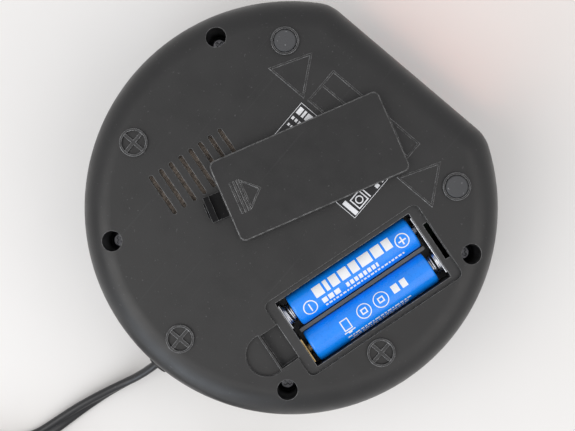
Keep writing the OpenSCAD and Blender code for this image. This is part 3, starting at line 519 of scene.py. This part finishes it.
def cell_print(name, side, body):
    place = cell_place(side)
    marks = Print(lambda s, t: on_cell(place, s, t))
    if side > 0:
        for s, t in ((-17.3, -1.7), (16.6, -0.3)):
            marks.ring(s, t, 1.95, 2.3)
        marks.bar(-17.5, -17.1, -3.0, -0.4)
        marks.bar(15.3, 17.9, -0.52, -0.08)
        marks.bar(16.38, 16.82, -0.08, 1.0)
        marks.bar(16.38, 16.82, -1.6, -0.52)
        marks.row(-14.2, 13.4, 1.35, 3.5, (3.1, 1.3, 2.7, 3.0, 2.6, 3.9, 3.2), 0.75)
        marks.row(-13.2, -6.6, -2.2, 1.7, (1.7, 1.7, 1.8), 0.5)
        marks.row(-4.6, 6.8, -2.2, 1.5, (1.0, 1.1, 1.1, 1.2), 0.45)
        marks.row(-13.0, 15.4, -4.1, 0.75, (0.8, 1.1, 0.6, 0.9), 0.4)
    else:
        marks.frame(7.3, 10.1, -2.0, 1.6, 0.35)
        marks.bar(6.8, 10.6, 1.95, 2.3)
        marks.bar(8.1, 9.3, 2.3, 2.75)
        for s, r in ((1.9, 2.35), (-4.2, 2.5)):
            marks.ring(s, -0.6, r - 0.3, r)
            marks.frame(s - 1.0, s + 1.0, -1.5, 0.3, 0.4)
        marks.row(-13.6, -8.4, -1.0, 2.6, (2.0, 2.2), 0.9)
        for i, t in enumerate((3.9, 4.9, 5.9)):
            marks.row(-12.4 + 1.2 * i, 10.5 - 1.5 * (i % 2), t, 0.5, (1.3, 0.7, 1.0, 1.6, 0.5), 0.4)
        marks.bar(-16.5, -12.5, 6.3, 6.55)
    mesh_piece(name, marks.points, marks.faces, [white_print], body, smooth=False)


cell("cell_left_body", 1, "cell_left", "battery_left")
cell("cell_right_body", -1, "cell_right", "battery_right")
cell_print("cell_left_print", 1, "cell_left")
cell_print("cell_right_print", -1, "cell_right")


# ---------------------------------------------------------------- contact springs

TRAY_L = 48.1
PLATE_T = 0.4
SPRING_L = 2.65
SPRING_R = 3.6
SPRING_TIP = 2.5
WIRE_R = 0.27
SPRING_TURNS = 3.6


def spring_points(end):
    """One conical spring from its plate towards its cell, with a closed turn at each end."""
    out, steps = [], 150
    for i in range(steps + 1):
        share = i / steps
        a = 2 * math.pi * SPRING_TURNS * share
        rise = smooth_step((share - 0.1) / 0.8)
        x = WIRE_R + (SPRING_L - 2 * WIRE_R) * rise
        r = SPRING_R + (SPRING_TIP - SPRING_R) * share
        out.append(Vector((-end * (TRAY_L / 2 - PLATE_T) + end * x, end * CELL_SIDE + r * math.cos(a),
                           CELL_DOWN + r * math.sin(a))))
    return out


def wire(line, radius, sides=10):
    rings = []
    for i, p in enumerate(line):
        along = (line[min(i + 1, len(line) - 1)] - line[max(i - 1, 0)]).normalized()
        across = along.cross(Vector((1, 0, 0))).normalized()
        other = along.cross(across)
        rings.append([TRAY @ ((p + across * radius * math.cos(a) + other * radius * math.sin(a)) * MM)
                      for a in [2 * math.pi * k / sides for k in range(sides)]])
    return sweep(rings)


points, faces = [], []
for end in (1, -1):
    more, shells = wire(spring_points(end), WIRE_R)
    faces += [tuple(v + len(points) for v in f) for f in shells]
    points += more
springs = mesh_piece("contact_springs", points, faces, [finishes["spring_steel"]])
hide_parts("battery_springs")


# ---------------------------------------------------------------- cloth behind the speaker grille

def cloth_material():
    n = Nodes("speaker_cloth")
    weave = n.math("MULTIPLY", n.noise(1.0, 1, 0.4, n.stretched((4200, 500, 500), 20)),
                   n.noise(1.0, 1, 0.4, n.stretched((500, 4200, 500), 20)))
    n.link(n.ramp(weave, [(0.16, (0.13, 0.108, 0.09)), (0.36, (0.4, 0.335, 0.28))]),
           n.shader.inputs["Base Color"])
    n.link(n.span(n.noise(1500, 2), 0.3, 0.7, 0.8, 0.95), n.shader.inputs["Roughness"])
    bump = n.add("ShaderNodeBump")
    bump.inputs["Strength"].default_value = 0.6
    bump.inputs["Distance"].default_value = 0.0001
    n.link(weave, bump.inputs["Height"])
    n.link(bump.outputs["Normal"], n.shader.inputs["Normal"])
    return n.material


CLOTH_SPOT = (28.3, 9.9)
CLOTH_R = 15.45
CLOTH_Z = (49.35, 49.65)
CLOTH_SIDES = 64
rings = [[Vector((CLOTH_SPOT[0] + CLOTH_R * math.cos(a), CLOTH_SPOT[1] + CLOTH_R * math.sin(a), z)) * MM
          for a in [2 * math.pi * k / CLOTH_SIDES for k in range(CLOTH_SIDES)]] for z in CLOTH_Z]
points, faces = sweep(rings)
mesh_piece("speaker_cloth", points, faces, [cloth_material()], smooth=False)


# ---------------------------------------------------------------- label print

LABEL_MID = (0.7, -17.8)
LABEL_TOP = 52.17
label_marks = Print(lambda s, t: Vector((LABEL_MID[0] + s, LABEL_MID[1] + t, LABEL_TOP)) * MM)
label_marks.frame(-17.2, 17.2, -8.0, 8.0, 0.14)
label_marks.row(-4.0, 16.6, -5.8, 2.3, (1.7, 0.8, 1.5, 2.1), 0.45)
label_marks.row(-1.0, 16.6, -2.9, 1.0, (1.1, 0.6, 1.3, 0.8), 0.45)
label_marks.row(2.0, 16.6, -0.6, 0.8, (0.7, 1.0, 0.5), 0.4)
label_marks.bar(-16.8, -11.6, 5.8, 7.2)
label_marks.frame(-16.6, -12.6, 0.8, 5.0, 0.35)
label_marks.ring(-14.6, 2.9, 0.9, 1.25)
label_marks.bar(-16.6, -12.6, -0.2, 0.2)
label_marks.row(-16.6, -9.0, -3.7, 1.3, (1.2, 0.7, 1.6), 0.45)
label_marks.row(-16.6, -6.0, -5.8, 0.8, (0.9, 1.3, 0.6), 0.4)
mesh_piece("label_print", label_marks.points, label_marks.faces, [white_print], smooth=False)


# ---------------------------------------------------------------- floor, world and lights

def floor_material():
    n = Nodes("floor_paint")
    n.link(n.ramp(n.noise(9, 5), [(0.3, (0.80, 0.785, 0.765)), (0.7, (0.83, 0.815, 0.80))]),
           n.shader.inputs["Base Color"])
    n.link(n.span(n.noise(60, 4), 0.3, 0.7, 0.5, 0.62), n.shader.inputs["Roughness"])
    return n.material


FLOOR_HALF = 2.5
floor_mesh = bpy.data.meshes.new("floor")
floor_mesh.from_pydata([(-FLOOR_HALF, -FLOOR_HALF, 0), (FLOOR_HALF, -FLOOR_HALF, 0), (FLOOR_HALF, FLOOR_HALF, 0),
                        (-FLOOR_HALF, FLOOR_HALF, 0)], [], [(0, 1, 2, 3)])
floor_mesh.materials.append(floor_material())
floor = bpy.data.objects.new("floor", floor_mesh)
bpy.context.scene.collection.objects.link(floor)

world = bpy.data.worlds.new("studio")
world.use_nodes = True
background = world.node_tree.nodes["Background"]
background.inputs["Color"].default_value = (0.98, 0.98, 1.0, 1.0)
background.inputs["Strength"].default_value = 0.72
bpy.context.scene.world = world
bpy.context.scene.view_settings.view_transform = "Standard"


def area_light(name, spot, size, watts, color, aim=(0, 0, 0.03)):
    data = bpy.data.lights.new(name, "AREA")
    data.size = size
    data.energy = watts
    data.color = color
    light = bpy.data.objects.new(name, data)
    light.location = spot
    light.rotation_euler = (Vector(aim) - Vector(spot)).to_track_quat("-Z", "Y").to_euler()
    bpy.context.scene.collection.objects.link(light)


area_light("key", -PICTURE_RIGHT * 0.5 - PICTURE_UP * 0.25 + Vector((0, 0, 0.8)), 0.7, 3.0, (1.0, 0.98, 0.95))
area_light("fill", PICTURE_RIGHT * 0.6 - PICTURE_UP * 0.3 + Vector((0, 0, 0.9)), 0.9, 2.4, (1.0, 0.96, 0.92))
area_light("window", -PICTURE_RIGHT * 0.42 - PICTURE_UP * 0.6 + Vector((0, 0, 0.3)), 0.5, 2.0, (0.8, 0.89, 1.0))
GLOW_SPOT = (0, -0.085, 0.03)
area_light("display_glow", GLOW_SPOT, 0.06, 0.003, (1.0, 0.42, 0.3), aim=(0, -0.13, 0))
